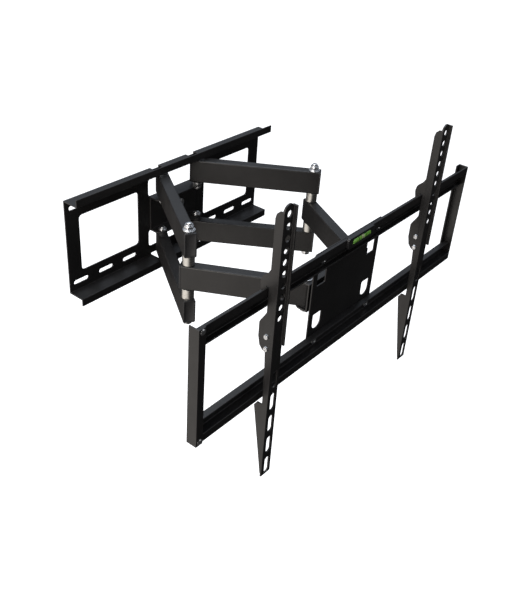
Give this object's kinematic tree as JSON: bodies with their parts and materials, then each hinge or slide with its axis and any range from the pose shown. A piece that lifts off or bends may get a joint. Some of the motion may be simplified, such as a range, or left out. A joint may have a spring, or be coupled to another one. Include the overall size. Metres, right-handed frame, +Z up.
{
  "type": "full motion tv wall mount",
  "caption": "Full motion wall mount for a television: slotted wall plate, paired folding arms, tilting head, and rails with sliding hook-on brackets.",
  "frame": {"origin": "centre of the wall plate's back face, on the wall", "axes": "+X right as seen from the front, -Y out of the wall towards the viewer, +Z up"},
  "size_m": [0.65, 0.3784, 0.42],
  "materials": {
    "powder_coat": "black satin powder coat",
    "zinc": "bright zinc plate",
    "turned_steel": "turned, satin zinc plate",
    "nylon": "moulded, satin",
    "level_plastic": "moulded, semi gloss",
    "vial": "clear, gloss"
  },
  "bodies": {
    "wall": {"wall_plate": "powder_coat", "pivot_bracket": "powder_coat", "bracket_bolts": "zinc", "wall_bolts": "zinc", "wall_lock_nuts": "zinc", "wall_washers": "zinc", "wall_sleeves": "nylon"},
    "left_first_link": {"left_upper_tube": "powder_coat", "left_lower_tube": "powder_coat", "left_end_plugs": "nylon", "left_wall_bushes": "nylon", "left_elbow_bolt": "zinc", "left_elbow_nut": "zinc", "left_upper_spacer": "turned_steel", "left_lower_spacer": "turned_steel"},
    "left_second_link": {"left_middle_tube": "powder_coat", "left_middle_plug": "nylon", "left_elbow_bushes": "nylon", "left_head_bushes": "nylon"},
    "right_first_link": {"right_upper_tube": "powder_coat", "right_lower_tube": "powder_coat", "right_end_plugs": "nylon", "right_wall_bushes": "nylon", "right_elbow_bolt": "zinc", "right_elbow_nut": "zinc", "right_upper_spacer": "turned_steel", "right_lower_spacer": "turned_steel"},
    "right_second_link": {"right_middle_tube": "powder_coat", "right_middle_plug": "nylon", "right_elbow_bushes": "nylon", "right_head_bushes": "nylon"},
    "head": {"head_yoke": "powder_coat", "head_bolts": "zinc", "head_nuts": "zinc", "tilt_bolt": "zinc", "tilt_nut": "zinc", "tilt_washers": "nylon"},
    "frame": {"tilt_plate": "powder_coat", "top_rail": "powder_coat", "bottom_rail": "powder_coat", "left_end_bar": "powder_coat", "right_end_bar": "powder_coat", "frame_bolts": "zinc", "frame_nuts": "zinc", "corner_rivets": "zinc", "level_housing": "level_plastic", "level_vial": "vial"},
    "left_bracket": {"left_tv_bracket": "powder_coat", "left_lock_screws": "zinc"},
    "right_bracket": {"right_tv_bracket": "powder_coat", "right_lock_screws": "zinc"}
  },
  "joints": [
    {"name": "left_wall_pivot", "type": "hinge", "parent": "wall", "child": "left_first_link", "pos_m": [-0.04, -0.0195, 0], "axis": [0, 0, 1], "range_deg": [-52, 19]},
    {"name": "left_elbow", "type": "hinge", "parent": "left_first_link", "child": "left_second_link", "pos_m": [-0.14616, -0.17707, 0], "axis": [0, 0, 1], "range_deg": [-40, 109]},
    {"name": "left_head_pivot", "type": "hinge", "parent": "left_second_link", "child": "head", "pos_m": [-0.062, -0.32247, 0], "axis": [0, 0, 1], "range_deg": [-57, 21]},
    {"name": "right_wall_pivot", "type": "hinge", "parent": "wall", "child": "right_first_link", "pos_m": [0.04, -0.0195, 0], "axis": [0, 0, 1], "range_deg": [-19, 52]},
    {"name": "right_elbow", "type": "hinge", "parent": "right_first_link", "child": "right_second_link", "pos_m": [0.14616, -0.17707, 0], "axis": [0, 0, 1], "range_deg": [-109, 40]},
    {"name": "tilt", "type": "hinge", "parent": "head", "child": "frame", "pos_m": [0, -0.32687, 0], "axis": [1, 0, 0], "range_deg": [-5, 12]},
    {"name": "left_bracket_slide", "type": "slide", "parent": "frame", "child": "left_bracket", "axis": [1, 0, 0], "range_m": [-0.108, 0.091]},
    {"name": "right_bracket_slide", "type": "slide", "parent": "frame", "child": "right_bracket", "axis": [1, 0, 0], "range_m": [-0.081, 0.119]}
  ],
  "couplings": [
    {"joint": "left_elbow", "follows": "left_wall_pivot", "ratio": -2.083},
    {"joint": "left_head_pivot", "follows": "left_wall_pivot", "ratio": 1.083},
    {"joint": "right_wall_pivot", "follows": "left_wall_pivot", "ratio": -1},
    {"joint": "right_elbow", "follows": "left_wall_pivot", "ratio": 2.083}
  ]
}
